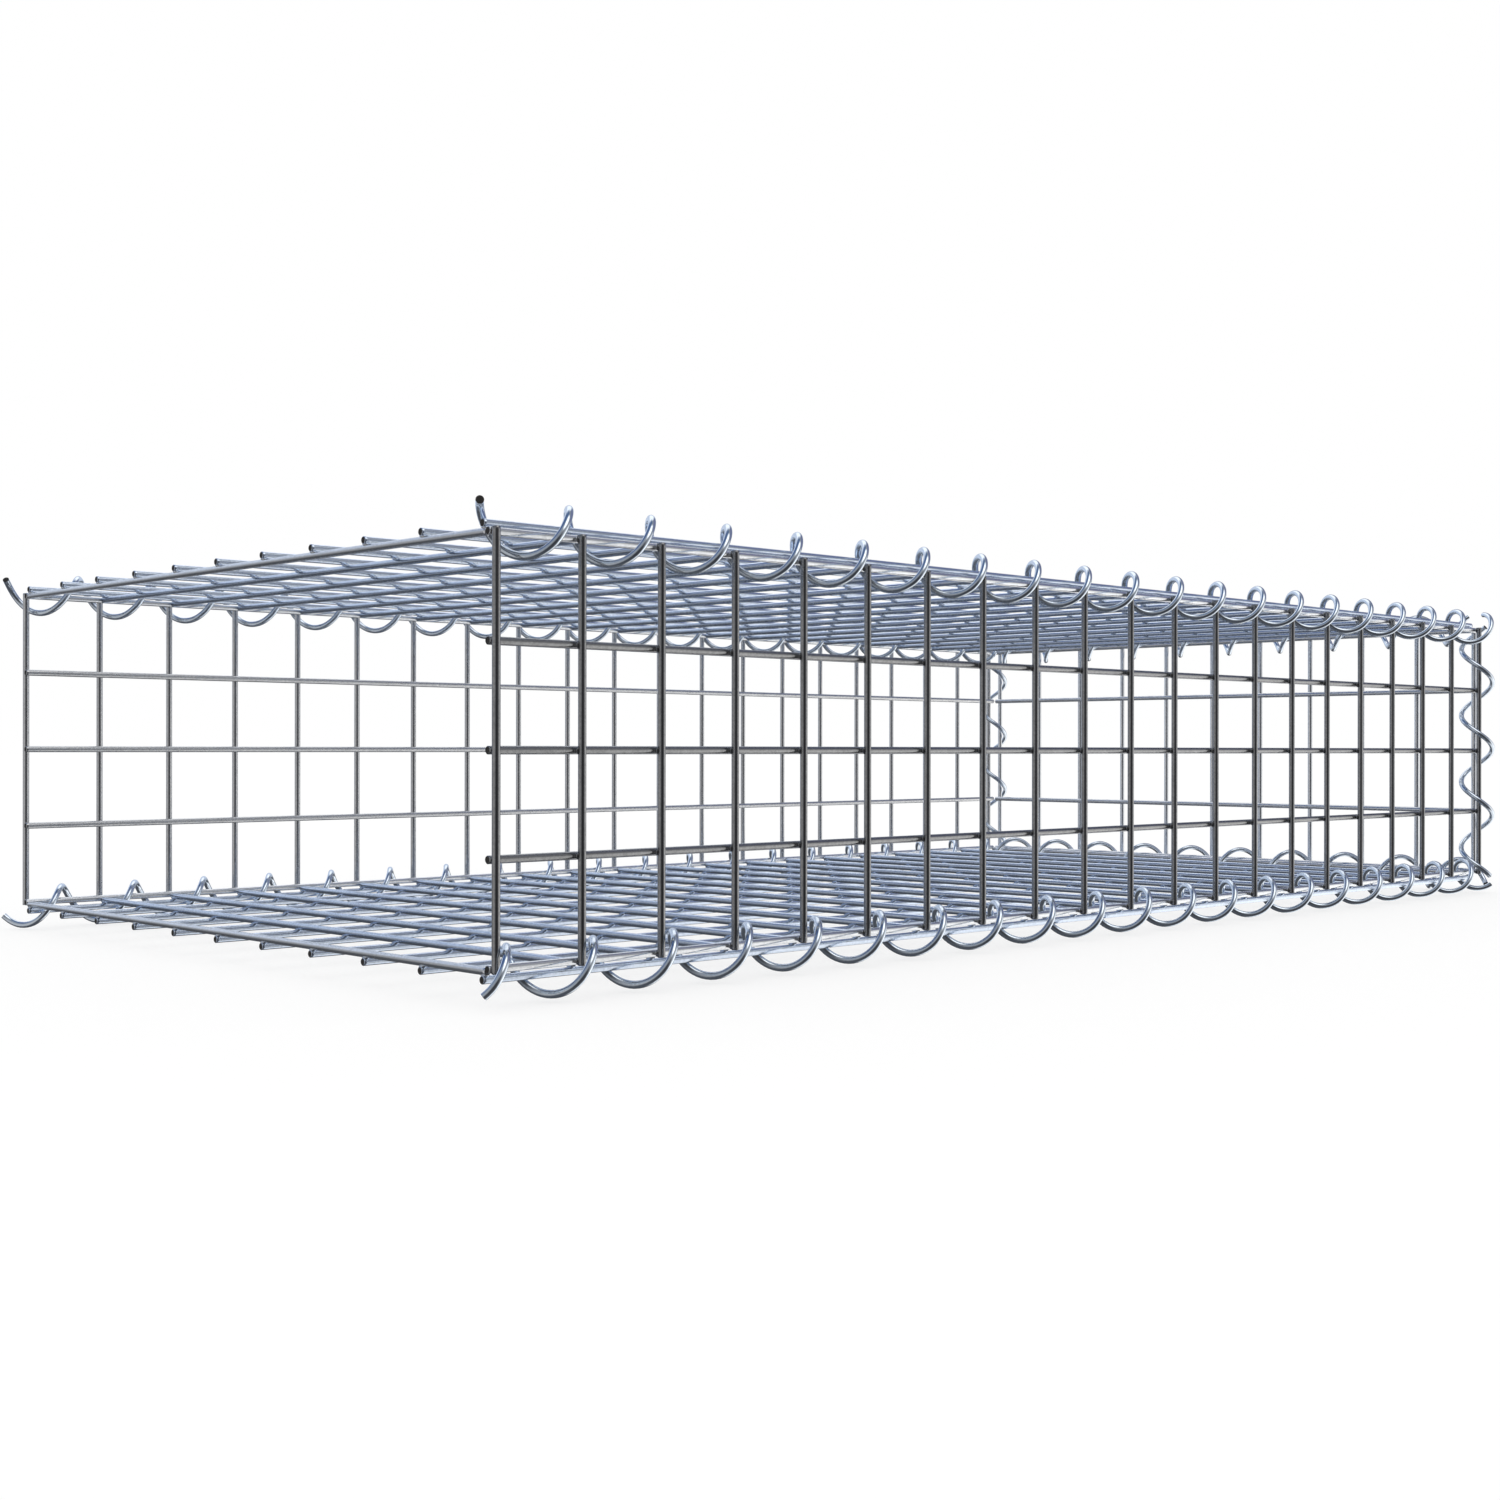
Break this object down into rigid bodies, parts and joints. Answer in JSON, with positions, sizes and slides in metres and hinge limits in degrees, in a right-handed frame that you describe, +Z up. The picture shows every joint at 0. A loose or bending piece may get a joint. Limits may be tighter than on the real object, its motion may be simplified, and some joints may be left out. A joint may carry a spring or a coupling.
{
  "type": "gabion basket",
  "caption": "Low rectangular gabion basket of welded square wire mesh, laced along its edges with helical wire coils; one end is open to join the next basket.",
  "frame": {"origin": "on the ground, under the middle of the mesh box (the coils make the whole box about 5 mm longer towards +X)", "axes": "+X along the basket, from the open end to the end wall; +Y from the front wall to the rear wall; +Z up"},
  "size_m": [1.0347, 0.5422, 0.2342],
  "materials": {
    "mesh_wire": "galvanised drawn wire, satin",
    "coil_wire": "galvanised drawn wire, bright"
  },
  "bodies": {
    "root": {"front_panel": "mesh_wire", "rear_panel": "mesh_wire", "end_panel": "mesh_wire", "lid_panel": "mesh_wire", "base_panel": "mesh_wire", "coil_lid_front": "coil_wire", "coil_lid_rear": "coil_wire", "coil_base_front": "coil_wire", "coil_base_rear": "coil_wire", "coil_lid_end": "coil_wire", "coil_base_end": "coil_wire", "coil_corner_front": "coil_wire", "coil_corner_rear": "coil_wire"}
  },
  "joints": []
}
